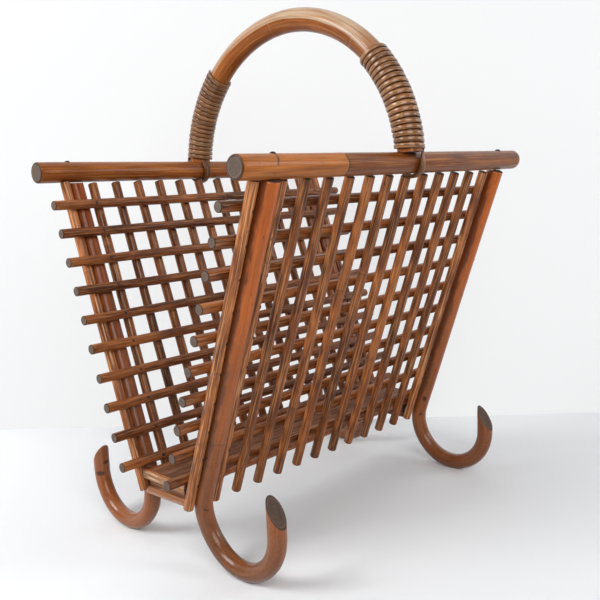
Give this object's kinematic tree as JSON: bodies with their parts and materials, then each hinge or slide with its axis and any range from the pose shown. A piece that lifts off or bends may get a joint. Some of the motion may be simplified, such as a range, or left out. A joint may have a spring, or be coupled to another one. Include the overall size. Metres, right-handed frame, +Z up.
{
  "type": "magazine basket",
  "caption": "Cane magazine basket: two sloping lattice panels on hooked feet, thick top rails, slatted floor and an arched handle with wound ends.",
  "frame": {"origin": "middle of the footprint, on the surface that the four feet rest on", "axes": "+X along the top rails to the right, +Y from the front panel to the back panel, +Z up"},
  "size_m": [0.405, 0.3106, 0.4953],
  "materials": {
    "rail_cane": "lacquered rattan pole, warm brown, dull grey-brown cut ends",
    "rod_cane": "lacquered rattan, darker brown, streaked, grey cut ends",
    "stick_cane": "lacquered rattan, streaked brown, dark cut ends",
    "guard_cane": "lacquered rattan, streaked brown with lighter fibres",
    "post_cane": "lacquered rattan pole, reddish brown, satin",
    "handle_cane": "lacquered rattan pole, golden brown, worn pale on top",
    "binding_cane": "flat peeled cane, satin, darker between turns",
    "floor_cane": "split rattan, matt brown, pale split ends",
    "cross_bar_cane": "glossy rattan, light reddish brown",
    "nail_steel": "small dark nail heads, dull"
  },
  "bodies": {
    "root": {"front_rail": "rail_cane", "front_rod_01": "rod_cane", "front_rod_02": "rod_cane", "front_rod_03": "rod_cane", "front_rod_04": "rod_cane", "front_rod_05": "rod_cane", "front_rod_06": "rod_cane", "front_rod_07": "rod_cane", "front_rod_08": "rod_cane", "front_rod_09": "rod_cane", "front_rod_10": "rod_cane", "front_stick_01": "stick_cane", "front_stick_02": "stick_cane", "front_stick_03": "stick_cane", "front_stick_04": "stick_cane", "front_stick_05": "stick_cane", "front_stick_06": "stick_cane", "front_stick_07": "stick_cane", "front_stick_08": "stick_cane", "front_stick_09": "stick_cane", "front_stick_10": "stick_cane", "front_left_inner_guard": "guard_cane", "front_left_outer_guard": "guard_cane", "front_left_post": "post_cane", "front_right_inner_guard": "guard_cane", "front_right_outer_guard": "guard_cane", "front_right_post": "post_cane", "front_binding": "binding_cane", "back_rail": "rail_cane", "back_rod_01": "rod_cane", "back_rod_02": "rod_cane", "back_rod_03": "rod_cane", "back_rod_04": "rod_cane", "back_rod_05": "rod_cane", "back_rod_06": "rod_cane", "back_rod_07": "rod_cane", "back_rod_08": "rod_cane", "back_rod_09": "rod_cane", "back_rod_10": "rod_cane", "back_stick_01": "stick_cane", "back_stick_02": "stick_cane", "back_stick_03": "stick_cane", "back_stick_04": "stick_cane", "back_stick_05": "stick_cane", "back_stick_06": "stick_cane", "back_stick_07": "stick_cane", "back_stick_08": "stick_cane", "back_stick_09": "stick_cane", "back_stick_10": "stick_cane", "back_left_inner_guard": "guard_cane", "back_left_outer_guard": "guard_cane", "back_left_post": "post_cane", "back_right_inner_guard": "guard_cane", "back_right_outer_guard": "guard_cane", "back_right_post": "post_cane", "back_binding": "binding_cane", "handle_arch": "handle_cane", "floor": "floor_cane", "left_cross_bar": "cross_bar_cane", "right_cross_bar": "cross_bar_cane"}
  },
  "joints": []
}
